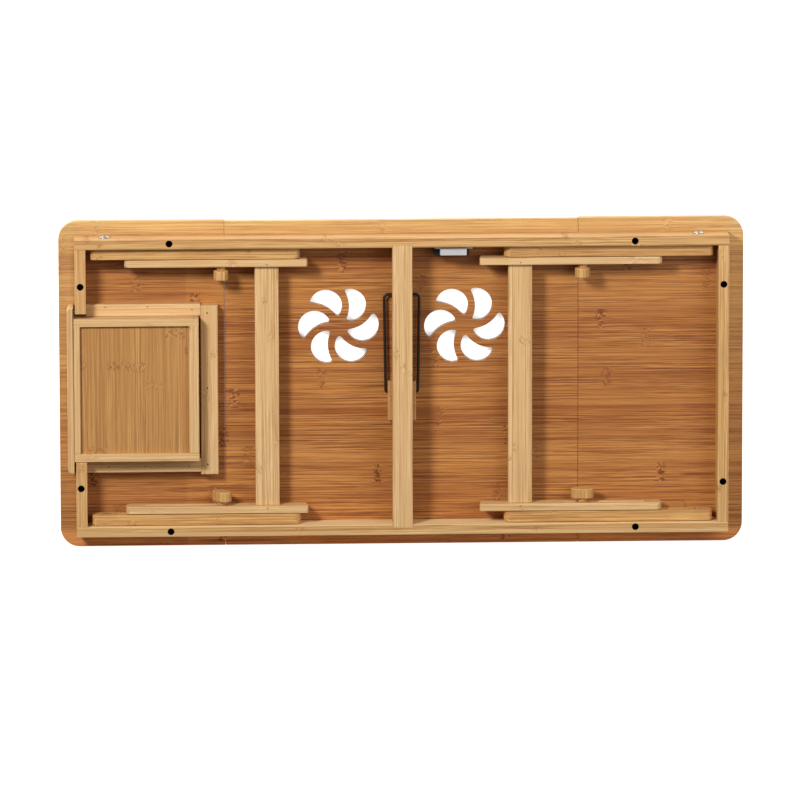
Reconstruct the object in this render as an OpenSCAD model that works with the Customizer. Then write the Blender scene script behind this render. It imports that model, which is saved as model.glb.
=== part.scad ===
// Folding lap desk with a tilting top and a side drawer, lying upside down on
// its table top with the legs folded in.  Millimetres, +X to the right, +Y to
// the back edge, +Z up from the floor (towards the underside of the desk).

/* [Table top] */
// Length of the whole table top
top_length = 720; // [700:1:740]
// Depth of the table top from front edge to back edge
top_depth = 347; // [340:1:352]
// Thickness of the top boards
top_thick = 10; // [9:0.5:11]
// Corner radius of the table top in plan
top_corner_r = 20; // [12:1:26]
// Length of the tilting middle board
tilt_length = 371.7; // [360:0.1:372]
// Gap at each seam beside the middle board
seam_gap = 0.3; // [0.3:0.1:1.4]
// How far the middle board stands back at the back edge
tilt_setback = 1.2; // [0.5:0.1:3]

/* [Frame] */
// Outer length of the rail frame
frame_length = 686; // [680:1:690]
// Outer depth of the rail frame
frame_depth = 316; // [312:1:320]
// Height of the rails above the boards
rail_height = 32; // [31:0.5:36]
// Thickness of the front and back rails
long_rail_t = 10.5; // [10:0.1:11]
// Thickness of the side rails
side_rail_t = 11.5; // [10.5:0.1:12]
// Width of the bar across the middle
bar_width = 20.7; // [18:0.1:22]
// Height of the bar across the middle
bar_height = 20; // [18:0.5:20]

/* [Legs] */
// Distance of the leg pivots from the centre
pivot_x = 311.5; // [310:0.5:313]
// Height of the leg pivots above the boards
pivot_height = 15.5; // [15.4:0.1:15.8]
// Width of a leg bar
leg_width = 20; // [19:0.5:20]
// Thickness of an outer leg
outer_leg_t = 11.2; // [10:0.1:11.3]
// Thickness of an inner leg
inner_leg_t = 7.8; // [7:0.1:8]
// Length of an outer leg from pivot to free end
outer_leg_reach = 204.5; // [190:0.5:206]
// Length of an inner leg
inner_leg_length = 191; // [185:0.5:192]
// Travel of an inner leg along its slot
leg_travel = 80; // [60:1:80]
// How far the right pair of legs is drawn out as it lies
right_drawn = 18; // [0:1:30]
// Width of the board that joins a pair of legs
stretcher_width = 25; // [20:0.5:27]

/* [Drawer] */
// Half of the drawer box width
drawer_half = 76; // [74:0.5:76]
// Sideways place of the drawer's middle line
drawer_y = -1.8; // [-2:0.1:0]
// Thickness of the drawer's long walls
drawer_side_t = 8.3; // [8:0.1:9]
// Thickness of the drawer's outer front
drawer_front_t = 6.8; // [6:0.1:7.5]
// Thickness of the drawer's floor
drawer_floor_t = 3; // [3:0.1:3.5]

/* [Support bail] */
// Diameter of the wire
wire_d = 3; // [2.5:0.1:3]
// Distance from the bail's pivot to its closed end
bail_reach = 103.7; // [100:0.1:104]
// Steepest tilt of the top in degrees
tilt_max = 30; // [25:1:30]

/* [Vents] */
// Sideways distance of each vent from the centre
vent_x = 66.3; // [62:0.1:70]
// Distance of the vents behind the centre
vent_y = 60.3; // [56:0.1:64]
// Radius of a petal's outer curve
petal_r = 18.1; // [16:0.1:18.5]

/* [Hidden] */
$fn = 64;

// Colours of the finishes
panel_wood = "peru";
rail_wood = "burlywood";
pale_wood = "wheat";
steel = "silver";
black_wire = "dimgray";
white_plastic = "whitesmoke";

// A small cut allowance so that cutters pass both faces
over = 1;

// Table top and frame levels
rail_top = top_thick + rail_height;
tilt_thick = top_thick - 0.2;
half_l = frame_length / 2;
half_d = frame_depth / 2;
rail_in = half_d - long_rail_t;
side_in = half_l - side_rail_t;
tilt_front = -top_depth / 2;
tilt_back = top_depth / 2 - tilt_setback;
seam_out = tilt_length / 2 + seam_gap;

// Tilt hinge, near the front edge at mid thickness
hinge_y = -165;
hinge_z = top_thick / 2;
hinge_pin_r = 2;
hinge_pin_l = 24;
running = 0.06;

// Screws that hold the rails on the boards
screw_x = 244;
screw_side_y = 106;
// How far each drilled place strays, in the order of the screws below
screw_strays = [[0, 0], [0, 0.7], [1, 0.9], [0, 0], [-0.7, 0], [0, 2.4], [0, 1.7], [0, 0]];
screw_well_r = 3.5;
screw_head_r = 3.2;
screw_shank_r = 1.7;
screw_head_z = top_thick + 8;
screw_tip_z = 3;

// Middle bar, let into both long rails, with notches for the bail
bar_housing = 2.5;
bar_low = rail_top - bar_height;
rack_relief = 2.2;
notch_count = 5;
notch_first = 10;
notch_depth = 2.6;

// Bail and its block
bail_y = -9.7;
bail_z = top_thick + 5;
bail_r = wire_d / 2;
bail_half_pivot = 16.9;
bail_half_end = 18.5;
bail_bend = 4.5;
bail_eye_bend = 2;
bail_stub_x = 9;
bend_lap = 0.25;
bend_swell = 0.03;
block_half = 14.8;
block_back = 2;
block_depth = 42;
block_height = 10;

// Legs: levels measured from the pivot, distances |Y| from the middle
pivot_z = top_thick + pivot_height;
leg_half = leg_width / 2;
leg_play = 0.6;
leg_out = rail_in - leg_play;
leg_in = leg_out - outer_leg_t;
foot_out = leg_in - leg_play;
foot_in = foot_out - inner_leg_t;
pivot_end = 15;
heel_r = 5;
toe_r = 9;
free_end_r = 8;
inner_start = 20.5;
inner_end = inner_start + inner_leg_length;
foot_slant = 6;
foot_r = 2.5;
inner_end_r = 6;
slot_r = 3.2;
clamp_x = 121.6;
clamp_r = 3;
guide_pin_x = 29.5;
guide_pin_r = 2.8;
guide_slot_r = 3;
guide_slot_start = 13.2;
guide_slot_end = guide_pin_x + leg_travel + 0.5;
pivot_r = 3;
pivot_head_r = 6.2;
nut_r = 3.9;
nut_well_r = 4.3;
nut_well_depth = 3;
clamp_head_r = 6.5;
clamp_head_well = 2.3;
stretcher_to_foot = 29.5;
stretcher_t = 10;
tenon_l = 5;
tenon_w = 13;
tenon_t = 5;
brad_r = 0.8;

// Knobs
knob_gap = 0.3;
collar_l = 3.5;
collar_r = 5.2;
knob_l = 11;
knob_span = 9;
knob_r = 7.5;
knob_edge = 1.6;
insert_r = 3.9;
insert_l = 10;
knob_bore_l = 13;
clamp_end = foot_in - knob_gap - knob_bore_l + 1;

// Drawer and its housing
box_out = -344.8;
box_back = -213.5;
inner_front_t = 6.9;
back_wall_t = 10.6;
drawer_low = top_thick + 1;
drawer_top = rail_top - 2;
floor_z = rail_top - 9;
floor_groove = 3;
runner_z = top_thick + 4;
runner_h = 5;
runner_play = 0.5;
runner_l = 3.5;
runner_groove = 3.9;
guide_gap = 0.7;
guide_w = 12.1;
front_guide_w = 13.7;
guide_top = top_thick + 13;
opening_half = 78.2;
front_half = 88.3;
front_corner_r = 5;
front_low = top_thick + 0.6;
front_top = rail_top - 0.6;
stop_x0 = -211.6;
stop_x1 = -193.3;
stop_half = 90.1;
stop_y = drawer_y - 3.4;
stop_top = top_thick + 13;
magnet_r = 3.5;
magnet_z = top_thick + 7;
brad_tip_z = 5;

// Catch on the back rail
catch_x0 = 39.8;
catch_x1 = 67.7;
catch_depth = 9.4;
catch_low = top_thick + 4;
catch_top = top_thick + 27;
catch_flange_t = 2.3;

// Vent petals
petal_count = 6;
petal_center = [12.0, 21.6];
bite_center = [-19.0, 20.5];
bite_r = 30;
petal_tip_r = 1.8;

// ---------------------------------------------------------------- helpers

// Convex outline p, counterclockwise, rounded with radius r[i] at corner i
module soft_outline(p, r) {
    n = len(p);
    heads = [for (i = [0:n - 1]) heading(p[(i + n - 1) % n], p[i])];
    cuts = [for (i = [0:n - 1]) r[i] * tan(wrap(heads[(i + 1) % n] - heads[i]) / 2)];
    polygon([for (i = [0:n - 1], k = [0, 1])
        p[i] + (k == 0 ? -dir(heads[i]) : dir(heads[(i + 1) % n])) * cuts[i]]);
    for (i = [0:n - 1]) if (r[i] > 0)
        translate(p[i] - dir(heads[i]) * cuts[i] + dir(heads[i] + 90) * r[i]) circle(r[i]);
}

// Rectangle from (x0, y0) to (x1, y1) with its own radius at each corner:
// low left, low right, high right, high left
module rounded_rect(x0, y0, x1, y1, r) {
    soft_outline([[x0, y0], [x1, y0], [x1, y1], [x0, y1]], r);
}

// The same for a board thinner than twice its corner radius
module thin_rounded_rect(x0, y0, x1, y1, r) {
    intersection() {
        translate([x0, y0]) square([x1 - x0, y1 - y0]);
        rounded_rect(x0, y0, x1, y1, r);
    }
}

// Box between two corners
module block(low, high) {
    translate(low) cube(high - low);
}

// Extrude an outline drawn in X and Z along Y, from y0 to y1
module along_y(y0, y1) {
    translate([0, y1, 0]) rotate([90, 0, 0]) linear_extrude(y1 - y0) children();
}

// Round bar along Y from y0 to y1
module rod_y(x, z, r, y0, y1) {
    translate([x, y1, z]) rotate([90, 0, 0]) cylinder(r = r, h = y1 - y0);
}

// Round bar along X from x0 to x1
module rod_x(y, z, r, x0, x1) {
    translate([x0, y, z]) rotate([0, 90, 0]) cylinder(r = r, h = x1 - x0);
}

// Upright round bar
module rod_z(x, y, r, z0, z1) {
    translate([x, y, z0]) cylinder(r = r, h = z1 - z0);
}

// Straight slot outline with round ends
module slot_outline(x0, x1, r) {
    translate([x0, -r]) square([x1 - x0, 2 * r]);
    translate([x0, 0]) circle(r);
    translate([x1, 0]) circle(r);
}

// Put a piece drawn for the left back corner into any corner
module corner(side, end) {
    mirror([side > 0 ? 1 : 0, 0, 0]) mirror([0, end < 0 ? 1 : 0, 0]) children();
}

// Put a piece drawn from a leg pivot at the origin on the left pivot
module at_pivot(drawn = 0) {
    translate([drawn - pivot_x, 0, pivot_z]) children();
}

function drawn_of(side) = side > 0 ? right_drawn : 0;

// Unit vector of an angle
function dir(a) = [cos(a), sin(a)];
function heading(p, q) = atan2(q[1] - p[1], q[0] - p[0]);
// Turn of a path at its point i, between -180 and 180
function turn_raw(p, i) = heading(p[i], p[i + 1]) - heading(p[i - 1], p[i]);
function wrap(a) = a > 180 ? a - 360 : a < -180 ? a + 360 : a;
function turn(p, i) = wrap(turn_raw(p, i));
// Length that the bend at point i takes off each straight beside it
function cut_back(p, b, i) = b[i] * tan(abs(turn(p, i)) / 2);

// Round wire along a flat path p with the bend radius b[i] at point i.  The
// bends are a hair thicker and the straights run a little way into them.
module bent_wire(p, b, r) {
    last = len(p) - 1;
    for (i = [0:last - 1]) {
        a = heading(p[i], p[i + 1]);
        t0 = i == 0 ? 0 : cut_back(p, b, i) - bend_lap;
        t1 = i == last - 1 ? 0 : cut_back(p, b, i + 1) - bend_lap;
        start = p[i] + dir(a) * t0;
        translate([start[0], start[1], 0]) rotate([0, 0, a]) rotate([0, 90, 0])
            cylinder(r = r, h = norm(p[i + 1] - p[i]) - t0 - t1);
    }
    for (i = [1:last - 1]) {
        a = heading(p[i - 1], p[i]);
        s = turn(p, i) > 0 ? 1 : -1;
        center = p[i] - dir(a) * cut_back(p, b, i) + dir(a + 90 * s) * b[i];
        sweep = abs(turn(p, i));
        first = s > 0 ? a - 90 : a + 90 - sweep;
        translate([center[0], center[1], 0]) rotate([0, 0, first])
            rotate_extrude(angle = sweep) translate([b[i], 0]) circle(r + bend_swell);
    }
}

// ------------------------------------------------------------- fastenings

// Places of the eight rail screws: four in the long rails, four in the side rails
screw_rows = concat(
    [for (sx = [-1, 1], sy = [-1, 1]) [sx * screw_x, sy * (half_d - long_rail_t / 2)]],
    [for (sx = [-1, 1], sy = [-1, 1]) [sx * (half_l - side_rail_t / 2), sy * screw_side_y]]
);
screw_spots = [for (i = [0:len(screw_rows) - 1]) screw_rows[i] + screw_strays[i]];

module screw_shanks() {
    for (s = screw_spots) rod_z(s[0], s[1], screw_shank_r, screw_tip_z, screw_head_z);
}

// The screws with the wells above their heads, as cut from the rails
module screw_wells() {
    screw_shanks();
    for (s = screw_spots) rod_z(s[0], s[1], screw_well_r, screw_head_z, rail_top + over);
}

module rail_screws() {
    color(steel) {
        screw_shanks();
        for (s = screw_spots) difference() {
            rod_z(s[0], s[1], screw_head_r, screw_head_z, screw_head_z + 2.4);
            for (a = [0, 90]) translate([s[0], s[1], screw_head_z + 2.4]) rotate([0, 0, a])
                cube([4, 0.9, 2.4], center = true);
        }
    }
}

module hinge_pins() {
    color(steel) for (s = [-1, 1])
        rod_x(hinge_y, hinge_z, hinge_pin_r,
              s * (seam_out - seam_gap / 2) - hinge_pin_l / 2,
              s * (seam_out - seam_gap / 2) + hinge_pin_l / 2);
}

// Brads through the drawer guides and the stop block into the left board
brad_spots = concat(
    [for (b = [[-311.4, 9.8], [-266.9, 9.8], [-220.3, 6.6]])
        [b[0], drawer_y + drawer_half + b[1], guide_top]],
    [for (x = [-308.5, -270.5, -224.5]) [x, drawer_y - drawer_half - 8.5, guide_top]],
    [for (y = [77, -2.8, -84.5]) [-204.6, y, stop_top]]
);

module housing_brads() {
    color(steel) for (b = brad_spots) rod_z(b[0], b[1], brad_r, brad_tip_z, b[2]);
}

// -------------------------------------------------------------- top boards

// One petal: a disc with a bite, its two points cut off and rounded
module petal() {
    d = norm(petal_center - bite_center);
    base = heading(petal_center, bite_center);
    near = petal_r - petal_tip_r;
    far = bite_r + petal_tip_r;
    along = (d * d + near * near - far * far) / (2 * d);
    side = sqrt(near * near - along * along);
    tips = [for (s = [1, -1]) petal_center + dir(base) * along + dir(base + 90) * side * s];
    // Ends of the cut across each point, on the disc and on the bite
    on_disc = [for (t = tips) petal_center + dir(heading(petal_center, t)) * petal_r];
    on_bite = [for (t = tips) bite_center + dir(heading(bite_center, t)) * bite_r];
    difference() {
        translate(petal_center) circle(petal_r);
        translate(bite_center) circle(bite_r);
        for (i = [0, 1])
            translate((on_disc[i] + on_bite[i]) / 2) rotate(heading(on_bite[i], on_disc[i]))
                translate([-petal_tip_r * 3, i == 1 ? 0 : -petal_tip_r * 4])
                    square([petal_tip_r * 6, petal_tip_r * 4]);
    }
    for (i = [0, 1]) translate((on_disc[i] + on_bite[i]) / 2)
        circle(norm(on_disc[i] - on_bite[i]) / 2 - 0.06);
}

module vent() {
    for (i = [0:petal_count - 1]) rotate(i * 360 / petal_count) petal();
}

module tilting_panel() {
    color(panel_wood) difference() {
        linear_extrude(tilt_thick) difference() {
            translate([-tilt_length / 2, tilt_front]) square([tilt_length, tilt_back - tilt_front]);
            for (s = [-1, 1]) translate([s * vent_x, vent_y]) vent();
        }
        for (s = [-1, 1])
            rod_x(hinge_y, hinge_z, hinge_pin_r + running,
                  s * (seam_out - seam_gap / 2) - hinge_pin_l / 2 - running,
                  s * (seam_out - seam_gap / 2) + hinge_pin_l / 2 + running);
    }
}

// Side board drawn on the left
module side_board() {
    linear_extrude(top_thick)
        rounded_rect(-top_length / 2, -top_depth / 2, -seam_out, top_depth / 2,
                     [top_corner_r, 0, 0, top_corner_r]);
}

module left_panel() {
    color(panel_wood) difference() {
        side_board();
        screw_shanks();
        hinge_pins();
        housing_brads();
    }
}

module right_panel() {
    color(panel_wood) difference() {
        mirror([1, 0, 0]) side_board();
        screw_shanks();
        hinge_pins();
    }
}

// -------------------------------------------------------------------- rails

// Long rail drawn at the back
module long_rail() {
    difference() {
        block([-half_l, rail_in, top_thick], [half_l, half_d, rail_top]);
        block([-bar_width / 2, rail_in - over, bar_low],
              [bar_width / 2, rail_in + bar_housing, rail_top + over]);
        for (s = [-1, 1]) rod_y(s * pivot_x, pivot_z, pivot_r, rail_in - over, half_d + over);
    }
}

module back_rail() {
    color(rail_wood) difference() {
        long_rail();
        screw_wells();
    }
}

module front_rail() {
    color(rail_wood) difference() {
        mirror([0, 1, 0]) long_rail();
        screw_wells();
    }
}

module right_rail() {
    color(rail_wood) difference() {
        block([side_in, -rail_in, top_thick], [half_l, rail_in, rail_top]);
        screw_wells();
    }
}

module left_rail_back() {
    color(rail_wood) difference() {
        block([-half_l, opening_half, top_thick], [-side_in, rail_in, rail_top]);
        screw_wells();
    }
}

module left_rail_front() {
    color(rail_wood) difference() {
        block([-half_l, -rail_in, top_thick], [-side_in, -opening_half, rail_top]);
        screw_wells();
    }
}

// ------------------------------------------- middle bar with its notch rack

bail_arm_y = bail_y - hinge_y;
bail_arm_z = bail_z - hinge_z;
// Angle between bail and bar when the wire touches the bar at tilt t
function bail_lean(t) =
    asin((bail_arm_y * sin(t) - bail_arm_z * cos(t) + bar_low - hinge_z - bail_r) / bail_reach);
// Place along the bar where the wire stands at tilt t
function wire_y(t) =
    bail_reach * cos(bail_lean(t)) + bail_arm_y * cos(t) + bail_arm_z * sin(t) + hinge_y;
notch_spots = [for (i = [0:notch_count - 1])
    wire_y(notch_first + (tilt_max - notch_first) * i / (notch_count - 1))];
rack_end = wire_y(0) + 8;
rack_start = notch_spots[notch_count - 1] + 6;

// Side view of one notch: a long ramp and a steep stop
module notch(y, z) {
    polygon([[y - 5, z - over], [y - 5, z], [y - 1.2, z + notch_depth],
             [y + 1.4, z + notch_depth], [y + 2.2, z], [y + 2.2, z - over]]);
}

module center_bar() {
    end = rail_in + bar_housing;
    color(pale_wood) translate([bar_width / 2, 0, 0]) rotate([90, 0, -90])
        linear_extrude(bar_width) mirror([1, 0]) difference() {
            translate([-end, bar_low]) square([2 * end, bar_height]);
            polygon([[rack_start, bar_low - over], [rack_start, bar_low],
                     [rack_start + 2, bar_low + rack_relief],
                     [rack_end, bar_low + rack_relief], [rack_end + 4, bar_low],
                     [rack_end + 4, bar_low - over]]);
            for (i = [0:notch_count - 1])
                notch(notch_spots[i], bar_low + (i < notch_count - 1 ? rack_relief : 0));
        }
}

// ------------------------------------------------------------- support bail

module bail_block() {
    color(pale_wood) difference() {
        block([-block_half, block_back - block_depth, tilt_thick],
              [block_half, block_back, tilt_thick + block_height]);
        for (m = [0, 1]) mirror([m, 0, 0])
            rod_x(bail_y, bail_z, bail_r + running, bail_stub_x - running, block_half + over);
    }
}

module support_bail() {
    path = [
        [-bail_stub_x, bail_y], [-bail_half_pivot, bail_y],
        [-bail_half_end, bail_y + bail_reach], [bail_half_end, bail_y + bail_reach],
        [bail_half_pivot, bail_y], [bail_stub_x, bail_y]
    ];
    bends = [0, bail_eye_bend, bail_bend, bail_bend, bail_eye_bend, 0];
    color(black_wire) translate([0, 0, bail_z]) bent_wire(path, bends, bail_r);
}

// -------------------------------------------------------------------- catch

module catch_keeper() {
    color(steel) block([catch_x0 + 3, rail_in - catch_depth + 1, tilt_thick],
                       [catch_x1 - 3, rail_in - 1.5, tilt_thick + 1]);
}

module catch_body() {
    color(white_plastic) difference() {
        union() {
            block([catch_x0, rail_in - catch_depth, catch_low], [catch_x1, rail_in, catch_top]);
            block([catch_x0 - 6.3, rail_in - catch_flange_t, catch_low],
                  [catch_x1 + 6.3, rail_in, catch_top]);
        }
        block([catch_x0 + 2, rail_in - catch_depth + 1.5, catch_low - over],
              [catch_x1 - 2, rail_in - 2, catch_low + 5]);
    }
}

// Magnet between its pole plates, with the dark ears of the lower plate
module catch_magnet() {
    color(black_wire) {
        block([catch_x0 + 2, rail_in - catch_depth + 1.5, top_thick + 1.2],
              [catch_x1 - 2, rail_in - 2, catch_low + 5]);
        translate([0, 0, catch_low - 1.6]) linear_extrude(1.6)
            thin_rounded_rect(catch_x0 - 8.5, rail_in - catch_depth + 0.2, catch_x1 + 2.8, rail_in,
                              [7, 4, 0, 0]);
    }
}

// ----------------------------------------------------- drawer and its housing

// Guide beside the drawer, drawn behind it: a bar w wide with a runner along its face
module drawer_guide(w) {
    y0 = drawer_half + guide_gap;
    translate([0, drawer_y, 0]) {
        block([-side_in, y0, top_thick], [stop_x0, y0 + w, guide_top]);
        block([-side_in, drawer_half - runner_l, runner_z],
              [stop_x0, y0 + over, runner_z + runner_h]);
    }
}

module drawer_guide_back() {
    color(rail_wood) difference() {
        drawer_guide(guide_w);
        housing_brads();
    }
}

module drawer_guide_front() {
    color(rail_wood) difference() {
        translate([0, 2 * drawer_y, 0]) mirror([0, 1, 0]) drawer_guide(front_guide_w);
        housing_brads();
    }
}

module stop_magnet() {
    color(steel) rod_x(drawer_y, magnet_z, magnet_r, stop_x0 - 0.3, stop_x0 + 3);
}

module drawer_stop_block() {
    color(rail_wood) difference() {
        block([stop_x0, stop_y - stop_half, top_thick], [stop_x1, stop_y + stop_half, stop_top]);
        stop_magnet();
        housing_brads();
    }
}

module drawer_front() {
    color(pale_wood) translate([0, drawer_y, front_low]) linear_extrude(front_top - front_low)
        thin_rounded_rect(box_out - drawer_front_t, -front_half, box_out, front_half,
                          [front_corner_r, 0, 0, front_corner_r]);
}

// Groove that holds the drawer's floor, all round the inside
module floor_panel(play) {
    reach = drawer_half - drawer_side_t + floor_groove;
    block([box_out + inner_front_t - floor_groove, drawer_y - reach, floor_z - play],
          [box_back - back_wall_t + floor_groove, drawer_y + reach, floor_z + drawer_floor_t + play]);
}

module drawer_floor() {
    color(panel_wood) floor_panel(0);
}

// Long wall drawn at the back: groove outside for the runner
module drawer_side() {
    y1 = drawer_half;
    difference() {
        translate([0, drawer_y, 0]) difference() {
            block([box_out, y1 - drawer_side_t, drawer_low], [box_back, y1, drawer_top]);
            block([box_out - over, y1 - runner_groove, runner_z - runner_play],
                  [box_back + over, y1 + over, runner_z + runner_h + runner_play]);
        }
        floor_panel(0);
    }
}

module drawer_side_back() {
    color(pale_wood) drawer_side();
}

module drawer_side_front() {
    color(pale_wood) translate([0, 2 * drawer_y, 0]) mirror([0, 1, 0]) drawer_side();
}

// Wall across the drawer between x0 and x1
module cross_wall(x0, x1) {
    reach = drawer_half - drawer_side_t;
    difference() {
        block([x0, drawer_y - reach, drawer_low], [x1, drawer_y + reach, drawer_top]);
        floor_panel(0);
    }
}

module drawer_inner_front() {
    color(pale_wood) cross_wall(box_out, box_out + inner_front_t);
}

module drawer_strike() {
    color(steel) rod_x(drawer_y, magnet_z, magnet_r, box_back - 3, box_back + 1.2);
}

module drawer_back() {
    color(pale_wood) difference() {
        cross_wall(box_back - back_wall_t, box_back);
        drawer_strike();
    }
}

// --------------------------------------------------------------------- legs

// Side outline of an outer leg, pivot at the origin, free end to the right
module outer_leg_outline() {
    h = leg_half;
    rounded_rect(-pivot_end, -h, outer_leg_reach, h, [toe_r, free_end_r, free_end_r, heel_r]);
}

// Outer leg of the left back corner
module outer_leg() {
    at_pivot() difference() {
        along_y(leg_in, leg_out) difference() {
            outer_leg_outline();
            slot_outline(guide_slot_start, guide_slot_end, guide_slot_r);
        }
        rod_y(0, 0, pivot_r + running, leg_in - over, leg_out + over);
        rod_y(0, 0, nut_well_r, leg_in - over, leg_in + nut_well_depth);
        rod_y(clamp_x, 0, clamp_r, leg_in - over, leg_out + over);
        rod_y(clamp_x, 0, clamp_head_r, leg_out - clamp_head_well, leg_out + over);
    }
}

// Side outline of an inner leg: its foot is cut to stand level when unfolded
module inner_leg_outline() {
    h = leg_half;
    s = h * tan(foot_slant);
    soft_outline([[inner_start, -h], [inner_end - s, -h], [inner_end + s, h], [inner_start, h]],
                 [inner_end_r, foot_r, foot_r, inner_end_r]);
}

// Tenon at one end of the stretcher
module tenon() {
    mid = inner_end - stretcher_to_foot - stretcher_width / 2;
    block([mid - tenon_w / 2, foot_in, -tenon_t / 2],
          [mid + tenon_w / 2, foot_in + tenon_l, tenon_t / 2]);
}

// Brads that pin a tenon
module tenon_brads() {
    mid = inner_end - stretcher_to_foot - stretcher_width / 2;
    rod_z(mid, foot_in + tenon_l / 2, brad_r, -tenon_t / 2 + 0.5, leg_half);
}

module guide_pin() {
    rod_y(guide_pin_x, 0, guide_pin_r, foot_out - 6, leg_out - 3);
}

// Inner leg of the left back corner, drawn out by the given distance
module inner_leg(drawn) {
    at_pivot(drawn) difference() {
        along_y(foot_in, foot_out) difference() {
            inner_leg_outline();
            slot_outline(clamp_x - leg_travel, clamp_x, slot_r);
        }
        tenon();
        tenon_brads();
        guide_pin();
    }
}

module stretcher(drawn) {
    x1 = inner_end - stretcher_to_foot;
    at_pivot(drawn) difference() {
        union() {
            block([x1 - stretcher_width, -foot_in, -stretcher_t / 2], [x1, foot_in, stretcher_t / 2]);
            for (m = [0, 1]) mirror([0, m, 0]) tenon();
        }
        for (m = [0, 1]) mirror([0, m, 0]) tenon_brads();
    }
}

// Carriage bolt with a flat round head let into the outer leg
module clamp_bolt() {
    at_pivot() {
        rod_y(clamp_x, 0, clamp_r, clamp_end, leg_out - clamp_head_well);
        rod_y(clamp_x, 0, clamp_head_r - 0.3, leg_out - clamp_head_well, leg_out - 0.4);
    }
}

module guide_pins(side) {
    color(steel) for (e = [-1, 1]) corner(side, e) at_pivot(drawn_of(side)) guide_pin();
}

module stretcher_brads(side) {
    color(steel) for (e = [-1, 1]) corner(side, e) at_pivot(drawn_of(side)) tenon_brads();
}

module clamp_bolts(side) {
    color(steel) for (e = [-1, 1]) corner(side, e) clamp_bolt();
}

// Low domed bolt with a slot across its head, through the rail and the outer leg
module pivot_bolt() {
    at_pivot() difference() {
        union() {
            rod_y(0, 0, pivot_r, leg_in + 0.4, half_d);
            translate([0, half_d, 0]) rotate([-90, 0, 0]) rotate_extrude()
                polygon([[0, 0], [pivot_head_r, 0], [pivot_head_r, 0.9], [5.4, 1.8],
                         [3.8, 2.4], [0, 2.5]]);
        }
        block([-0.7, half_d + 1.3, -pivot_head_r - over], [0.7, half_d + 4, pivot_head_r + over]);
    }
}

module leg_pivot_bolts() {
    color(steel) for (s = [-1, 1], e = [-1, 1]) corner(s, e) pivot_bolt();
}

module leg_pivot_nuts() {
    color(steel) for (s = [-1, 1], e = [-1, 1]) corner(s, e) at_pivot() difference() {
        translate([0, leg_in + nut_well_depth - 0.3, 0]) rotate([90, 0, 0])
            cylinder(r = nut_r, h = 2.4, $fn = 6);
        rod_y(0, 0, pivot_r, leg_in - over, leg_out);
    }
}

// -------------------------------------------------------------------- knobs

// Oval wooden knob on the clamp bolt of the left back corner, turned by a
module knob(a) {
    at_pivot() translate([clamp_x, foot_in - knob_gap, 0]) rotate([90, 0, 0]) rotate([0, 0, a])
        difference() {
            union() {
                cylinder(r = collar_r, h = collar_l + over);
                translate([0, 0, collar_l]) for (s = [-1, 1]) translate([s * knob_span / 2, 0, 0]) {
                    cylinder(r1 = knob_r - 0.8, r2 = knob_r, h = 0.8);
                    translate([0, 0, 0.8]) cylinder(r = knob_r, h = knob_l - 0.8 - knob_edge);
                    translate([0, 0, knob_l - knob_edge])
                        cylinder(r1 = knob_r, r2 = knob_r - knob_edge, h = knob_edge);
                }
                translate([-knob_span / 2, 0, collar_l]) rotate([90, 0, 90])
                    linear_extrude(knob_span) polygon([
                        [-knob_r + 0.8, 0], [knob_r - 0.8, 0], [knob_r, 0.8],
                        [knob_r, knob_l - knob_edge], [knob_r - knob_edge, knob_l],
                        [-knob_r + knob_edge, knob_l], [-knob_r, knob_l - knob_edge],
                        [-knob_r, 0.8]
                    ]);
            }
            translate([0, 0, -over]) cylinder(r = insert_r, h = insert_l + over);
            translate([0, 0, -over]) cylinder(r = clamp_r + running, h = knob_bore_l + over);
        }
}

// Threaded insert inside a knob
module insert() {
    at_pivot() translate([clamp_x, foot_in - knob_gap, 0]) rotate([90, 0, 0]) difference() {
        cylinder(r = insert_r, h = insert_l);
        translate([0, 0, -over]) cylinder(r = clamp_r + running, h = insert_l + 2 * over);
    }
}

// -------------------------------------------------------------------- nodes

tilting_panel();
bail_block();
catch_keeper();
left_panel();
right_panel();
back_rail();
front_rail();
right_rail();
left_rail_back();
left_rail_front();
center_bar();
rail_screws();
hinge_pins();
catch_body();
catch_magnet();
drawer_guide_back();
drawer_guide_front();
drawer_stop_block();
housing_brads();
stop_magnet();
leg_pivot_bolts();
leg_pivot_nuts();
support_bail();
color(rail_wood) corner(-1, 1) outer_leg();  // left_outer_leg_back
color(rail_wood) corner(-1, -1) outer_leg();  // left_outer_leg_front
color(rail_wood) corner(1, 1) outer_leg();  // right_outer_leg_back
color(rail_wood) corner(1, -1) outer_leg();  // right_outer_leg_front
clamp_bolts(-1);  // left_clamp_bolts
clamp_bolts(1);  // right_clamp_bolts
color(pale_wood) corner(-1, 1) inner_leg(0);  // left_inner_leg_back
color(pale_wood) corner(-1, -1) inner_leg(0);  // left_inner_leg_front
color(pale_wood) corner(1, 1) inner_leg(right_drawn);  // right_inner_leg_back
color(pale_wood) corner(1, -1) inner_leg(right_drawn);  // right_inner_leg_front
color(pale_wood) corner(-1, 1) stretcher(0);  // left_stretcher
color(pale_wood) corner(1, 1) stretcher(right_drawn);  // right_stretcher
guide_pins(-1);  // left_guide_pins
guide_pins(1);  // right_guide_pins
stretcher_brads(-1);  // left_stretcher_brads
stretcher_brads(1);  // right_stretcher_brads
color(rail_wood) corner(-1, 1) knob(88);  // left_knob_back
color(rail_wood) corner(-1, -1) knob(57);  // left_knob_front
color(rail_wood) corner(1, 1) knob(78);  // right_knob_back
color(rail_wood) corner(1, -1) knob(0);  // right_knob_front
color("gold") corner(-1, 1) insert();  // left_insert_back
color("gold") corner(-1, -1) insert();  // left_insert_front
color("gold") corner(1, 1) insert();  // right_insert_back
color("gold") corner(1, -1) insert();  // right_insert_front
drawer_front();
drawer_inner_front();
drawer_back();
drawer_side_back();
drawer_side_front();
drawer_floor();
drawer_strike();
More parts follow.
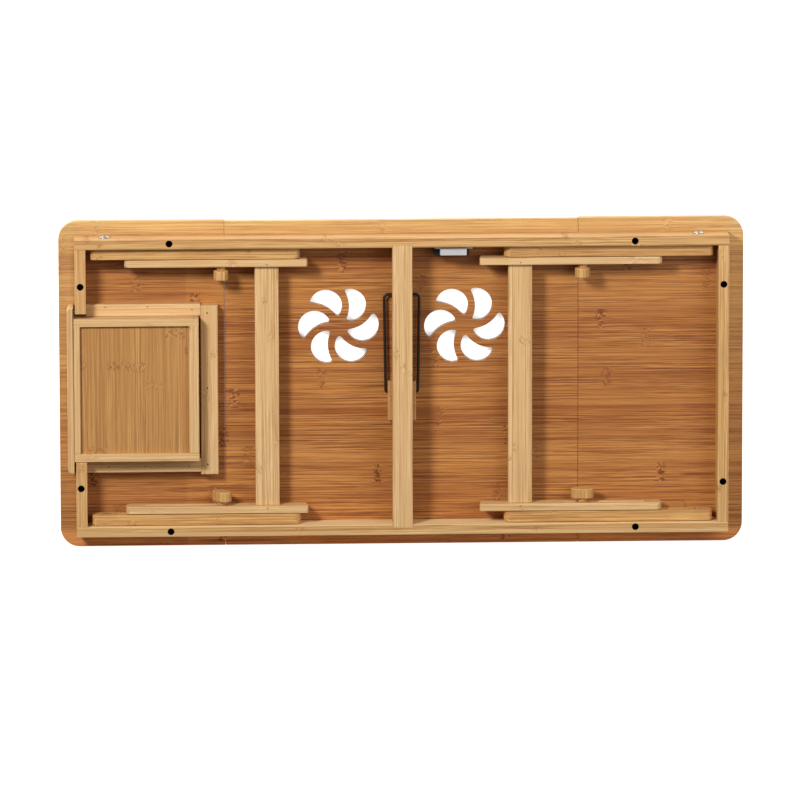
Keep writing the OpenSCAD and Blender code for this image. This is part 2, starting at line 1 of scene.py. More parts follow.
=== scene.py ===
"""Folding bamboo lap desk, upside down with its legs folded in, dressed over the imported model."""

import math

import bmesh
import bpy
from mathutils import Matrix, Vector


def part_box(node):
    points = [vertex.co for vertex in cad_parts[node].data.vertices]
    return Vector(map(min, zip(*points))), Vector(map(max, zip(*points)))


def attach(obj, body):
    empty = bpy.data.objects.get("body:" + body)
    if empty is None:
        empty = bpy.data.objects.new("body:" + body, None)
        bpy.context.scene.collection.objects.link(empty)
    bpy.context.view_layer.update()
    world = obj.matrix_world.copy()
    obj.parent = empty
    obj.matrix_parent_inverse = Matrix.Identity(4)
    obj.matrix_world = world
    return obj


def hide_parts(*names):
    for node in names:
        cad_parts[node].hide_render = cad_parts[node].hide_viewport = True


bl_info = {
    "name": "Folding bamboo lap desk",
    "version": (1, 0, 0),
    "blender": (4, 5, 0),
    "location": "3D View > Sidebar > Lap desk",
    "description": "Builds a folding bamboo lap desk over its packed model",
    "category": "Object",
}

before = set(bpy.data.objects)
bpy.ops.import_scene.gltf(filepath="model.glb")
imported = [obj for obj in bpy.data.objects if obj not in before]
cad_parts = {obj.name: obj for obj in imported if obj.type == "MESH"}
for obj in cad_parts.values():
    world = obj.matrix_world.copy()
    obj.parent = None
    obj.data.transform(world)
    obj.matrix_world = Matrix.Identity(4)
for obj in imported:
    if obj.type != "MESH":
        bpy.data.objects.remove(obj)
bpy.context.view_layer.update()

MM = 0.001
LEFT, RIGHT = -1, 1
BACK, FRONT = 1, -1
SIDE_NAME = {LEFT: "left", RIGHT: "right"}
END_NAME = {BACK: "back", FRONT: "front"}


# ---- places and sizes, in millimetres


def measure(node):
    """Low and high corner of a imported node."""
    low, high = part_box(node)
    return tuple(round(v / MM, 3) for v in low), tuple(round(v / MM, 3) for v in high)


# Table top: outer corners, and the vents with their petals turned a little
TOP_CORNER_R = 20
VENT_X, VENT_Y = 66.3, 59.8
PETALS, PETAL_TURN = 6, 1.2

# Long rails: their faces and the bottom of the middle bar's housing, from the middle line
RAIL_OUT, RAIL_IN, HOUSING = 158.0, 147.5, 150.0
WELL_R = 3.5
SCREW_WELLS = [
    (-244.0, -152.75), (-244.0, 153.45), (245.0, -151.85), (244.0, 152.75),
    (-337.95, -106.0), (-337.25, 108.4), (337.25, -104.3), (337.25, 106.0),
]

# Tilt support: the board's hinge line, the wire's pivot and its reach from there
HINGE_Y, HINGE_Z = -165.0, 5.0
BAIL_Y, BAIL_Z, BAIL_REACH = -9.7, 15.0, 103.7
WIRE_R = 1.5
NOTCH_TILTS = (10, 15, 20, 25, 30)

# Legs: lengths along a bar are counted from its pivot
OUTER_LOW, OUTER_HIGH = measure("left_outer_leg_back")
HEEL, OUTER_REACH, CLAMP_REACH = 15.0, 204.5, 121.6
INNER_START, INNER_END, INNER_SLOT = 20.5, 211.5, 41.6
GUIDE_SLOT = (13.2, 110.0)
FOOT_SLANT = math.radians(6)
RIGHT_DRAWN = 18.0
PIVOT_X = OUTER_LOW[0] + HEEL
PIVOT_Z = (OUTER_LOW[2] + OUTER_HIGH[2]) / 2
LEG_HALF = (OUTER_HIGH[2] - OUTER_LOW[2]) / 2
LEG_OUT, LEG_IN = 146.9, 135.7
STRETCHER_HALF = 127.3
KNOB_TURN = {(LEFT, BACK): 88, (LEFT, FRONT): 57, (RIGHT, BACK): 78, (RIGHT, FRONT): 0}

# Drawer: middle line, then half widths out to its walls and guides
DRAWER_MID = -1.8
WALL_OUT, WALL_IN = 76.0, 67.7
GUIDE_IN, RUNNER_IN = 76.2, 72.5
GUIDE_OUT = {BACK: 88.8, FRONT: 90.4}

# Magnetic catch: the shell's and the pole's ends along the rail
SHELL_X, POLE_X = (39.8, 67.7), (42.2, 65.3)


# ---- outlines


def heading(p, q):
    return math.atan2(q[1] - p[1], q[0] - p[0])


def wrapped(angle):
    return (angle + math.pi) % (2 * math.pi) - math.pi


def turned_by(points, angle):
    c, s = math.cos(angle), math.sin(angle)
    return [(x * c - y * s, x * s + y * c) for x, y in points]


def arc(middle, radius, start, sweep):
    """Points on an arc, both ends included, about six degrees apart."""
    steps = max(3, round(abs(math.degrees(sweep)) / 6))
    turns = [start + sweep * i / steps for i in range(steps + 1)]
    return [(middle[0] + radius * math.cos(a), middle[1] + radius * math.sin(a)) for a in turns]


def rounded_path(points, radii, closed=True):
    """The path through the points, with every corner rounded by its own radius."""
    count, path = len(points), []
    for i, p in enumerate(points):
        if not closed and i in (0, count - 1):
            path.append(p)
            continue
        before, after = points[i - 1], points[(i + 1) % count]
        a, b, r = heading(before, p), heading(p, after), radii[i]
        turn = wrapped(b - a)
        if r <= 0 or abs(turn) < 1e-6:
            path.append(p)
            continue
        side = 1 if turn > 0 else -1
        cut = r * math.tan(abs(turn) / 2)
        middle = (
            p[0] - math.cos(a) * cut - math.sin(a) * r * side,
            p[1] - math.sin(a) * cut + math.cos(a) * r * side,
        )
        path += arc(middle, r, a - side * math.pi / 2, turn)
    return path


def eased(corners):
    """The path with all its corners rounded by 0.3 mm."""
    return rounded_path(corners, [0.3] * len(corners))


def oblong(x0, y0, x1, y1, r):
    """Rectangle with one radius, or a radius for each corner from low left on."""
    radii = r if isinstance(r, (list, tuple)) else [r] * 4
    return rounded_path([(x0, y0), (x1, y0), (x1, y1), (x0, y1)], radii)


def ring(x, y, r):
    return arc((x, y), r, 0, 2 * math.pi)[:-1]


def slot_loop(x0, x1, r):
    """Slot along the first axis, its end circles at x0 and x1."""
    return arc((x1, 0.0), r, -math.pi / 2, math.pi) + arc((x0, 0.0), r, math.pi / 2, math.pi)


def petal_loop(turn):
    """One vent petal: a disc with a bite taken out and both points rounded."""
    disc, disc_r = Vector((12.2, 22.0)), 17.3
    bite, bite_r = Vector((-19.0, 20.9)), 30.6
    tip_r = 2.6
    span, near, far = (bite - disc).length, disc_r - tip_r, bite_r + tip_r
    along = (span**2 + near**2 - far**2) / (2 * span)
    side = math.sqrt(near**2 - along**2)
    way = (bite - disc).normalized()
    across = Vector((-way.y, way.x))
    low, high = disc + way * along + across * side, disc + way * along - across * side
    from_disc = [heading(disc, t) for t in (low, high)]
    to_bite = [heading(t, bite) for t in (low, high)]
    from_bite = [heading(bite, t) for t in (low, high)]
    loop = arc(disc, disc_r, from_disc[0], (from_disc[1] - from_disc[0]) % (2 * math.pi))
    loop += arc(high, tip_r, from_disc[1], wrapped(to_bite[1] - from_disc[1]))
    loop += arc(bite, bite_r, from_bite[1], wrapped(from_bite[0] - from_bite[1]))
    loop += arc(low, tip_r, to_bite[0], wrapped(from_disc[0] - to_bite[0]))
    return turned_by(loop, turn)


# ---- meshes

AXIS_FRAME = {
    "z": Matrix(((1, 0, 0), (0, 1, 0), (0, 0, 1))),
    "y": Matrix(((1, 0, 0), (0, 0, 1), (0, 1, 0))),
    "x": Matrix(((0, 0, 1), (1, 0, 0), (0, 1, 0))),
}
WELD = 2e-6
TURNED_SHARP = 40
TURNED_STEPS = 40


def linked(name, data):
    obj = bpy.data.objects.new(name, data)
    bpy.context.scene.collection.objects.link(obj)
    return obj


def mesh_of(obj):
    """Mesh of the object with its modifiers, as data of its own."""
    bpy.context.view_layer.update()
    seen = obj.evaluated_get(bpy.context.evaluated_depsgraph_get())
    return bpy.data.meshes.new_from_object(seen)


def cleaned(mesh, sharp=50):
    """Welds the mesh, turns its faces outward and marks the edges that stay sharp."""
    bm = bmesh.new()
    bm.from_mesh(mesh)
    bmesh.ops.remove_doubles(bm, verts=bm.verts, dist=WELD)
    bmesh.ops.recalc_face_normals(bm, faces=bm.faces)
    for f in bm.faces:
        f.smooth = True
    bm.to_mesh(mesh)
    bm.free()
    mesh.set_sharp_from_angle(angle=math.radians(sharp))
    return mesh


def evened(obj):
    """Shades the flat faces flat and their rounded edges round."""
    obj.modifiers.new("even_normals", "WEIGHTED_NORMAL").keep_sharp = True
    return obj


def mesh_from(curve, points, cyclic):
    """Mesh of a bevelled curve with one more spline for each list of points."""
    for loop in points:
        spline = curve.splines.new("POLY")
        spline.points.add(len(loop) - 1)
        for point, place in zip(spline.points, loop):
            point.co = (*(v * MM for v in place), 1)
        spline.use_cyclic_u = cyclic
    drawn = linked(curve.name, curve)
    mesh = mesh_of(drawn)
    bpy.data.objects.remove(drawn)
    bpy.data.curves.remove(curve)
    return mesh


def slab(name, loops, low, high, axis, soft, rings=2):
    """Board with the given outline and holes, from low to high along an axis, edges rounded."""
    curve = bpy.data.curves.new(name, "CURVE")
    curve.dimensions = "2D"
    curve.fill_mode = "BOTH"
    curve.extrude = ((high - low) / 2 - soft) * MM
    curve.bevel_depth = soft * MM
    curve.bevel_resolution = rings
    curve.offset = -soft * MM
    mesh = mesh_from(curve, [[(u, v, 0) for u, v in loop] for loop in loops], True)
    shift = Matrix.Translation((0, 0, (low + high) / 2 * MM))
    mesh.transform(AXIS_FRAME[axis].to_4x4() @ shift)
    mesh.name = name
    return evened(linked(name, cleaned(mesh)))


def box_slab(name, node, r, soft, rings=2):
    """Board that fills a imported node's box, its corners in plan rounded by r."""
    low, high = measure(node)
    return slab(name, [oblong(*low[:2], *high[:2], r)], low[2], high[2], "z", soft, rings)


def turned(name, profile, start, axis, facing=1):
    """Turned piece: profile is (radius, distance) from its foot at start along the axis."""
    bm = bmesh.new()
    rows = []
    for radius, along in profile:
        turns = [2 * math.pi * i / TURNED_STEPS for i in range(TURNED_STEPS if radius else 1)]
        height = along * facing * MM
        rows.append([
            bm.verts.new((radius * math.cos(a) * MM, radius * math.sin(a) * MM, height))
            for a in turns
        ])
    for a, b in zip(rows, rows[1:]):
        for i in range(TURNED_STEPS):
            j = (i + 1) % TURNED_STEPS
            corners = [a[i % len(a)], a[j % len(a)], b[j % len(b)], b[i % len(b)]]
            bm.faces.new(list(dict.fromkeys(corners)))
    mesh = bpy.data.meshes.new(name)
    bm.to_mesh(mesh)
    bm.free()
    mesh.transform(Matrix.Translation(Vector(start) * MM) @ AXIS_FRAME[axis].to_4x4())
    return linked(name, cleaned(mesh, TURNED_SHARP))


def bore(radius, depth, start, facing):
    """Cutter for a round recess of that depth in a face that looks along y."""
    past = 2
    profile = [(0, -depth), (radius, -depth), (radius, past), (0, past)]
    return turned("cut_recess", profile, start, "y", facing)


def saw(u, v, half_wide, half_long, low, high, axis):
    """Cutter for a screwdriver slot, half_wide and half_long from its middle."""
    outline = oblong(u - half_wide, v - half_long, u + half_wide, v + half_long, 0.1)
    return slab("cut_slot", [outline], low, high, axis, 0.05, 1)


def tube(name, points, radius):
    """Round wire through the points."""
    curve = bpy.data.curves.new(name, "CURVE")
    curve.dimensions = "3D"
    curve.bevel_depth = radius * MM
    curve.bevel_resolution = 5
    curve.use_fill_caps = True
    return linked(name, cleaned(mesh_from(curve, [points], False), TURNED_SHARP))


def joined(name, parts):
    """One object from several."""
    bm = bmesh.new()
    for part in parts:
        copy = part.data.copy()
        copy.transform(part.matrix_world)
        bm.from_mesh(copy)
        bpy.data.meshes.remove(copy)
        bpy.data.objects.remove(part)
    mesh = bpy.data.meshes.new(name)
    bm.to_mesh(mesh)
    bm.free()
    mesh.set_sharp_from_angle(angle=math.radians(50))
    return evened(linked(name, mesh))


def carved(obj, cutters):
    """Cuts the cutters out of obj and removes them."""
    obj.modifiers.clear()
    for cutter in cutters:
        cut = obj.modifiers.new("cut", "BOOLEAN")
        cut.operation = "DIFFERENCE"
        cut.solver = "EXACT"
        cut.object = cutter
    mesh = mesh_of(obj)
    obj.modifiers.clear()
    obj.data = cleaned(mesh)
    for cutter in cutters:
        bpy.data.objects.remove(cutter)
    return evened(obj)


def fitted(obj, material, body, node):
    """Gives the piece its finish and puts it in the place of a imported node."""
    obj.data.materials.clear()
    obj.data.materials.append(material)
    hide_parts(node)
    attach(obj, body)


def finished(node, material):
    """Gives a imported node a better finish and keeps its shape."""
    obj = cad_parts[node]
    obj.data.materials.clear()
    obj.data.materials.append(material)
    for slot in obj.material_slots:
        slot.link = "OBJECT"
        slot.material = material


# ---- materials

WOODS = {
    # kind: strip width and tone spread, strength of fibres and knuckles, gap between knuckles
    "panel": (0.0205, 1.08, 0.76, 1.0, 0.30),
    "rail": (0.0053, 0.55, 0.72, 0.55, 0.25),
    "leg": (0.0058, 0.55, 0.70, 0.50, 0.28),
    "pale": (0.0067, 0.48, 0.56, 0.55, 0.24),
    "plate": (0.0205, 0.45, 0.55, 0.75, 0.19),
}
STREAKS = (
    # waves per metre along and across, detail, darkest and lightest noise, share in the
    # height, share in the colour
    (3.5, 540.0, 1.0, 0.41, 0.59, 0.46, 0.75),
    (10.0, 1000.0, 1.5, 0.38, 0.62, 0.38, 0.9),
    (40.0, 1900.0, 1.0, 0.32, 0.68, 0.16, 0.5),
)
# Factors on red, green and blue: painted highlight on the back margin, painted light on the front
# margin in the rail's shadow, painted shade on the left board
BACK_PAINTED_HIGHLIGHT, FRONT_PAINTED_LIGHT, LEFT_PAINTED_SHADE = (1.45, 2.3, 3.3), (1.55, 1.45, 1.85), (0.88, 0.85, 0.84)
# Painted shade for the walls of the deep screw wells
WELL_PAINTED_SHADE = (0.012, 0.006, 0.005)
FINISHES = {
    # name: colour, grime, roughness, metallic, amount of wear
    "zinc_plate": ((0.72, 0.72, 0.70), (0.45, 0.44, 0.42), 0.32, 1.0, 0.35),
    "brad_steel": ((0.60, 0.45, 0.31), (0.44, 0.32, 0.22), 0.5, 0.2, 0.3),
    "dark_screw_steel": ((0.16, 0.14, 0.13), (0.05, 0.04, 0.04), 0.45, 0.8, 0.3),
    "turned_brass": ((0.80, 0.66, 0.36), (0.5, 0.38, 0.18), 0.3, 1.0, 0.3),
    "black_wire_coat": ((0.07, 0.035, 0.03), (0.04, 0.02, 0.018), 0.55, 0.0, 0.25),
    "catch_plate_iron": ((0.14, 0.14, 0.14), (0.20, 0.19, 0.18), 0.5, 0.3, 0.3),
}
CATCH_GRIME = (0.6, 0.6, 0.58)


def linear(color):
    """Scene colour from a screen colour."""
    return tuple(c / 12.92 if c <= 0.04045 else ((c + 0.055) / 1.055) ** 2.4 for c in color)


class Wires:
    """Adds nodes to one tree. A value is a number, a colour or the output of another node."""

    def __init__(self, tree):
        self.tree = tree

    def put(self, kind, settings=None, **inputs):
        node = self.tree.nodes.new(kind)
        for key, value in (settings or {}).items():
            setattr(node, key, value)
        for key, value in inputs.items():
            self.feed(node.inputs[key], value)
        return node

    def feed(self, socket, value):
        if isinstance(value, bpy.types.NodeSocket):
            self.tree.links.new(value, socket)
        elif socket.type == "RGBA" and len(value) == 3:
            socket.default_value = (*value, 1)
        else:
            socket.default_value = value

    def calc(self, operation, *values, clamp=False):
        node = self.put("ShaderNodeMath", {"operation": operation, "use_clamp": clamp})
        for socket, value in zip(node.inputs, values):
            self.feed(socket, value)
        return node.outputs[0]

    def add(self, a, b, clamp=False):
        return self.calc("ADD", a, b, clamp=clamp)

    def sub(self, a, b):
        return self.calc("SUBTRACT", a, b)

    def mul(self, a, b):
        return self.calc("MULTIPLY", a, b)

    def centred(self, value, width):
        """A value from 0 to 1 as one of that width around 0."""
        return self.mul(self.sub(value, 0.5), width)

    def ramp(self, value, low, high, to_low=0.0, to_high=1.0):
        """Smooth step from low to high."""
        node = self.put("ShaderNodeMapRange", {"interpolation_type": "SMOOTHSTEP"}, Value=value)
        limits = {"From Min": low, "From Max": high, "To Min": to_low, "To Max": to_high}
        for key, number in limits.items():
            self.feed(node.inputs[key], number)
        return node.outputs[0]

    def rise(self, value, low, high, to_low=0.0, to_high=1.0):
        """Smooth step over a length, its ends in millimetres."""
        return self.ramp(value, low * MM, high * MM, to_low, to_high)

    def away(self, x, y, spot):
        """Distance in plan from a spot in millimetres."""
        node = self.put("ShaderNodeVectorMath", {"operation": "DISTANCE"})
        self.feed(node.inputs[0], self.put("ShaderNodeCombineXYZ", X=x, Y=y, Z=0.0).outputs[0])
        self.feed(node.inputs[1], (spot[0] * MM, spot[1] * MM, 0.0))
        return node.outputs["Value"]

    def noise(self, x, y, z, detail):
        at = self.put("ShaderNodeCombineXYZ", X=x, Y=y, Z=z).outputs[0]
        node = self.put("ShaderNodeTexNoise", Vector=at, Scale=1.0, Detail=detail, Roughness=0.55)
        return node.outputs["Fac"]

    def mix(self, factor, a, b, kind="MIX"):
        node = self.put("ShaderNodeMix", {"data_type": "RGBA", "blend_type": kind})
        # A mix node has its colour sockets after those for numbers and vectors
        for place, value in ((0, factor), (6, a), (7, b)):
            self.feed(node.inputs[place], value)
        return node.outputs[2]

    def tinted(self, color, factors):
        return self.mix(1.0, color, factors, "MULTIPLY")


def new_group(name, ins):
    """Shader node group: its wires, its named inputs and its output node."""
    group = bpy.data.node_groups.new(name, "ShaderNodeTree")
    for label, default in ins:
        kind = "NodeSocketColor" if isinstance(default, tuple) else "NodeSocketFloat"
        socket = group.interface.new_socket(label, in_out="INPUT", socket_type=kind)
        socket.default_value = default
    for label, kind in (("Colour", "Color"), ("Roughness", "Float"), ("Height", "Float")):
        group.interface.new_socket(label, in_out="OUTPUT", socket_type=f"NodeSocket{kind}")
    w = Wires(group)
    return w, group.nodes.new("NodeGroupInput").outputs, group.nodes.new("NodeGroupOutput")


def bamboo_group():
    """Bamboo strips glued side by side: tone of each strip, fibres, knuckles, glue lines."""
    found = bpy.data.node_groups.get("bamboo_strips")
    if found:
        return found
    w, g, out = new_group(
        "bamboo_strips",
        [
            ("Along", 0.0), ("Across", 0.0), ("Depth", 0.0), ("Seed", 0.0),
            ("Strip Width", 0.02), ("Tone Spread", 0.6), ("Fibre Strength", 0.5),
            ("Knuckle Strength", 0.6), ("Knuckle Gap", 0.3),
            ("Dark", (0.3, 0.12, 0.03, 1)), ("Light", (0.5, 0.25, 0.08, 1)),
            ("Fibre Dark", (0.2, 0.07, 0.02, 1)), ("Fibre Light", (0.6, 0.32, 0.12, 1)),
            ("Ply", 0.0), ("Ply Colour", (0.4, 0.2, 0.06, 1)),
        ],
    )
    seed = w.mul(g["Seed"], 3.71)

    def grain_noise(along, across, detail, bent=g["Across"]):
        return w.noise(w.mul(g["Along"], along), w.mul(bent, across), seed, detail)

    # Strips, whose edges wander a little, and three random numbers for each
    wander = w.centred(grain_noise(3.0, 6.0, 1.0), 0.004)
    row = w.calc("DIVIDE", w.add(g["Across"], w.mul(wander, 0.3)), g["Strip Width"])
    row = w.add(row, w.mul(g["Seed"], 7.31))
    strip_seed = w.add(w.calc("FLOOR", row), seed)
    dice = w.put("ShaderNodeTexWhiteNoise", {"noise_dimensions": "1D"}, W=strip_seed)
    chance = w.put("ShaderNodeSeparateColor", Color=dice.outputs["Color"]).outputs

    # Knuckles: a short patch of crooked fibres, at its own place in each strip
    place = w.add(w.calc("DIVIDE", g["Along"], g["Knuckle Gap"]), chance[1])
    off = w.mul(w.calc("ABSOLUTE", w.sub(w.calc("FRACT", place), 0.5)), g["Knuckle Gap"])
    off = w.add(off, w.centred(grain_noise(60.0, 420.0, 2.0), 0.014))
    knuckle = w.ramp(off, 0.0065, 0.002)
    crook = w.centred(grain_noise(330.0, 170.0, 2.0), w.mul(knuckle, 0.010))
    across = w.add(w.add(g["Across"], wander), crook)

    # Tone of the strip, with a slow drift, and the darker layer of a laminated bar
    drift = grain_noise(3.5, 55.0, 2.0)
    tone = w.add(w.centred(chance[2], 1.1), w.centred(drift, 1.3))
    tone = w.add(w.mul(tone, g["Tone Spread"]), 0.5, clamp=True)
    body = w.mix(tone, g["Dark"], g["Light"])
    body = w.mix(w.mul(g["Ply"], 0.85), body, g["Ply Colour"])

    # Fibres: three sizes of streak along the strip, stronger in some patches than in others
    shift = w.add(seed, w.mul(chance[0], 9.0))
    force = w.mul(w.ramp(grain_noise(7.0, 60.0, 2.0), 0.35, 0.65, 0.4, 1.0), g["Fibre Strength"])
    relief = 0.0
    for waves, cross, detail, low, high, in_height, in_color in STREAKS:
        x = w.add(w.mul(g["Along"], waves), shift)
        noise = w.noise(x, w.mul(across, cross), w.mul(g["Depth"], cross), detail)
        streak = w.ramp(noise, low, high)
        relief = w.add(relief, w.mul(streak, in_height))
        part = w.mul(force, in_color)
        body = w.mix(w.mul(w.ramp(streak, 0.5, 1.0), part), body, g["Fibre Dark"])
        body = w.mix(w.mul(w.ramp(streak, 0.5, 0.0), part), body, g["Fibre Light"])

    # Marks of the knuckles, weaker in some strips
    dashes = grain_noise(210.0, 560.0, 1.0, across)
    marked = w.mul(knuckle, g["Knuckle Strength"])
    marked = w.mul(marked, w.ramp(chance[0], 0.3, 0.6, 0.3, 1.0))
    body = w.mix(w.mul(marked, w.ramp(dashes, 0.45, 0.58)), body, g["Fibre Dark"])
    body = w.mix(w.mul(marked, w.ramp(dashes, 0.42, 0.30, 0.0, 0.7)), body, g["Fibre Light"])

    # Glue line between two strips
    edge = w.sub(0.5, w.calc("ABSOLUTE", w.sub(w.calc("FRACT", row), 0.5)))
    glue = w.ramp(w.mul(edge, g["Strip Width"]), 0.0004, 0.0)
    body = w.mix(w.mul(glue, 0.3), body, g["Fibre Dark"])

    w.feed(out.inputs["Colour"], body)
    w.feed(out.inputs["Roughness"], w.add(w.mul(relief, 0.16), 0.42))
    height = w.sub(w.sub(relief, w.mul(knuckle, 0.2)), w.mul(glue, 0.3))
    w.feed(out.inputs["Height"], height)
    return w.tree


def new_material(name):
    material = bpy.data.materials.new(name)
    material.use_nodes = True
    material.node_tree.nodes.clear()
    w = Wires(material.node_tree)
    shader = w.put("ShaderNodeBsdfPrincipled")
    out = w.put("ShaderNodeOutputMaterial")
    w.feed(out.inputs["Surface"], shader.outputs[0])
    return material, w, shader


def dressed_panel(w, color, at, colors):
    """Table top: painted highlight on the margins, painted light on the front, painted shade on the
    left board and on the vent walls.
    """
    # pale is the lighter colour of the painted highlight on the margins
    pale = w.mix(0.5, w.tinted(color, BACK_PAINTED_HIGHLIGHT), linear(colors.back_highlight_color))
    # Painted highlight along the back margin
    back = w.rise(at["y"], 135, 172, 0.0, colors.back_highlight_amount)
    color = w.mix(back, color, pale)
    # Painted light on the front margin, which lies in the front rail's shadow
    color = w.mix(w.rise(at["y"], -156, -160), color, w.tinted(color, FRONT_PAINTED_LIGHT))
    # Painted shade on the left board, darker than the others
    left = w.mul(w.rise(at["x"], -225, -228), w.rise(at["y"], 160, 150))
    color = w.mix(left, color, w.tinted(color, LEFT_PAINTED_SHADE))
    # Painted highlight on the side margins, stronger towards the back
    from_middle = w.calc("ABSOLUTE", at["x"])
    side = w.mul(w.rise(from_middle, 338, 350), w.rise(at["y"], -160, 190, 0.15, 0.7))
    color = w.mix(side, color, pale)
    # Painted shade on the walls cut through the boards for the vents
    walls = w.mul(w.rise(at["z"], 9.8, 8.8), w.rise(at["z"], 0.2, 1.2))
    vent = w.away(from_middle, at["y"], (VENT_X, VENT_Y))
    walls = w.mul(walls, w.rise(vent, 47, 45, 0.0, 0.75))
    return w.mix(walls, color, linear(colors.vent_wall))


def painted_front_light(w, color, y, colors):
    """Front rail: painted light brightens its inner face, and a strip along its top too."""
    face = w.add(w.rise(y, -148.2, -147.6), w.rise(y, -153.0, -153.6, 0.0, 0.3))
    return w.mix(w.mul(face, w.rise(y, 0.0, -10)), color, linear(colors.front_face_light))


def bamboo(name, kind, grain, across, seed, layer=None, lean=0.0, foot=0.0, wells=()):
    """Bamboo with its grain along one axis and its strips side by side along another.

    layer is where the darker layer of a laminated bar starts and ends along y: lean is how
    far its first edge drifts per metre of grain, and it starts at the height foot. wells
    are the places of the deep screw wells, painted with shade inside. All in millimetres."""
    material, w, shader = new_material(name)
    colors = bpy.context.scene.desk_colors
    place = w.put("ShaderNodeTexCoord").outputs["Object"]
    at = dict(zip("xyz", w.put("ShaderNodeSeparateXYZ", Vector=place).outputs))
    depth = (set("xyz") - {grain, across}).pop()
    width, spread, fibre, knuckle, gap = WOODS[kind]
    values = {
        "Along": at[grain], "Across": at[across], "Depth": at[depth], "Seed": seed,
        "Strip Width": width, "Tone Spread": spread, "Fibre Strength": fibre,
        "Knuckle Strength": knuckle, "Knuckle Gap": gap, "Ply Colour": linear(colors.ply_dark),
    }
    tones = {"Dark": "dark", "Light": "light", "Fibre Dark": "fibre", "Fibre Light": "shine"}
    for key, tone in tones.items():
        values[key] = linear(getattr(colors, f"{kind}_{tone}"))
    if layer:
        leaned = w.sub(at["y"], w.mul(at[grain], lean * MM))
        begun = w.rise(leaned, layer[0] - 0.15, layer[0] + 0.15)
        ended = w.rise(at["y"], layer[1] - 0.15, layer[1] + 0.15)
        values["Ply"] = w.mul(w.sub(begun, ended), w.rise(at["z"], foot - 3, foot + 3))
    strips = w.put("ShaderNodeGroup", {"node_tree": bamboo_group()})
    for key, value in values.items():
        w.feed(strips.inputs[key], value)
    color = strips.outputs["Colour"]
    if kind == "panel":
        color = dressed_panel(w, color, at, colors)
    # Painted light on the front rail's inner face and a strip along its top
    if kind == "rail" and grain == "x":
        color = painted_front_light(w, color, at["y"], colors)
    # Painted shade down the walls of the deep screw wells
    for well in wells:
        inside = w.rise(w.away(at["x"], at["y"], well), WELL_R + 0.15, WELL_R + 0.05)
        color = w.mix(inside, color, WELL_PAINTED_SHADE)
    w.feed(shader.inputs["Base Color"], color)
    w.feed(shader.inputs["Roughness"], strips.outputs["Roughness"])
    shader.inputs["Coat Weight"].default_value = 0.05
    shader.inputs["Coat Roughness"].default_value = 0.35
    height = strips.outputs["Height"]
    bump = w.put("ShaderNodeBump", Strength=0.35, Distance=0.00025, Height=height)
    w.feed(shader.inputs["Normal"], bump.outputs[0])
    return material


def worn_group():
    """Fine scratches and dull patches for metal and plastic."""
    found = bpy.data.node_groups.get("light_wear")
    if found:
        return found
    w, g, out = new_group(
        "light_wear",
        [
            ("Colour", (0.5, 0.5, 0.5, 1)), ("Grime", (0.2, 0.2, 0.2, 1)),
            ("Roughness", 0.4), ("Amount", 0.3), ("Scale", 600.0),
        ],
    )
    place = w.put("ShaderNodeTexCoord").outputs["Object"]
    broad = w.mul(g["Scale"], 0.2)
    spots, soft = (
        w.put("ShaderNodeTexNoise", Vector=place, Scale=scale, Detail=detail).outputs["Fac"]
        for scale, detail in ((g["Scale"], 4.0), (broad, 2.0))
    )
    dull = w.mul(w.ramp(soft, 0.45, 0.7), g["Amount"])
    w.feed(out.inputs["Colour"], w.mix(dull, g["Colour"], g["Grime"]))
    uneven = w.centred(spots, w.mul(g["Amount"], 0.8))
    w.feed(out.inputs["Roughness"], w.add(g["Roughness"], uneven))
    w.feed(out.inputs["Height"], spots)
    return w.tree


def plain_finish(name, color, grime, rough, metallic, amount, coat=0.0):
    """Metal, paint or plastic with light wear."""
    found = bpy.data.materials.get(name)
    if found:
        return found
    material, w, shader = new_material(name)
    wear = w.put("ShaderNodeGroup", {"node_tree": worn_group()})
    values = {"Colour": linear(color), "Grime": linear(grime), "Roughness": rough, "Amount": amount}
    for key, value in values.items():
        w.feed(wear.inputs[key], value)
    w.feed(shader.inputs["Base Color"], wear.outputs["Colour"])
    w.feed(shader.inputs["Roughness"], wear.outputs["Roughness"])
    shader.inputs["Metallic"].default_value = metallic
    shader.inputs["Coat Weight"].default_value = coat
    bump = w.put("ShaderNodeBump", Strength=0.1, Distance=0.0001, Height=wear.outputs["Height"])
    w.feed(shader.inputs["Normal"], bump.outputs[0])
    return material


def finish(name):
    return plain_finish(name, *FINISHES[name])


def wooden(obj, slot, body, node, *grain, **layer):
    """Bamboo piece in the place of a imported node; the rest says what bamboo() is told."""
    fitted(obj, bamboo(f"wood_{node}", *grain, **layer), body, node)


# ---- what a user may change

WOOD_TONES = {
    # kind: label, where it is, then dark strip, light strip, dark fibre, light fibre
    "panel": (
        "Board", "the table top",
        (0.605, 0.336, 0.127), (0.77, 0.518, 0.255), (0.487, 0.25, 0.091), (0.839, 0.586, 0.309),
    ),
    "rail": (
        "Rail", "the rails",
        (0.755, 0.566, 0.326), (0.867, 0.687, 0.442), (0.643, 0.434, 0.221), (0.918, 0.758, 0.518),
    ),
    "leg": (
        "Leg", "the outer legs",
        (0.745, 0.541, 0.301), (0.859, 0.663, 0.407), (0.631, 0.428, 0.213), (0.911, 0.734, 0.475),
    ),
    "pale": (
        "Pale wood", "bars and drawer",
        (0.818, 0.653, 0.43), (0.9, 0.745, 0.54), (0.704, 0.51, 0.29), (0.952, 0.816, 0.61),
    ),
    "plate": (
        "Drawer floor", "the drawer floor",
        (0.673, 0.465, 0.247), (0.775, 0.566, 0.323), (0.571, 0.374, 0.18), (0.836, 0.646, 0.399),
    ),
}


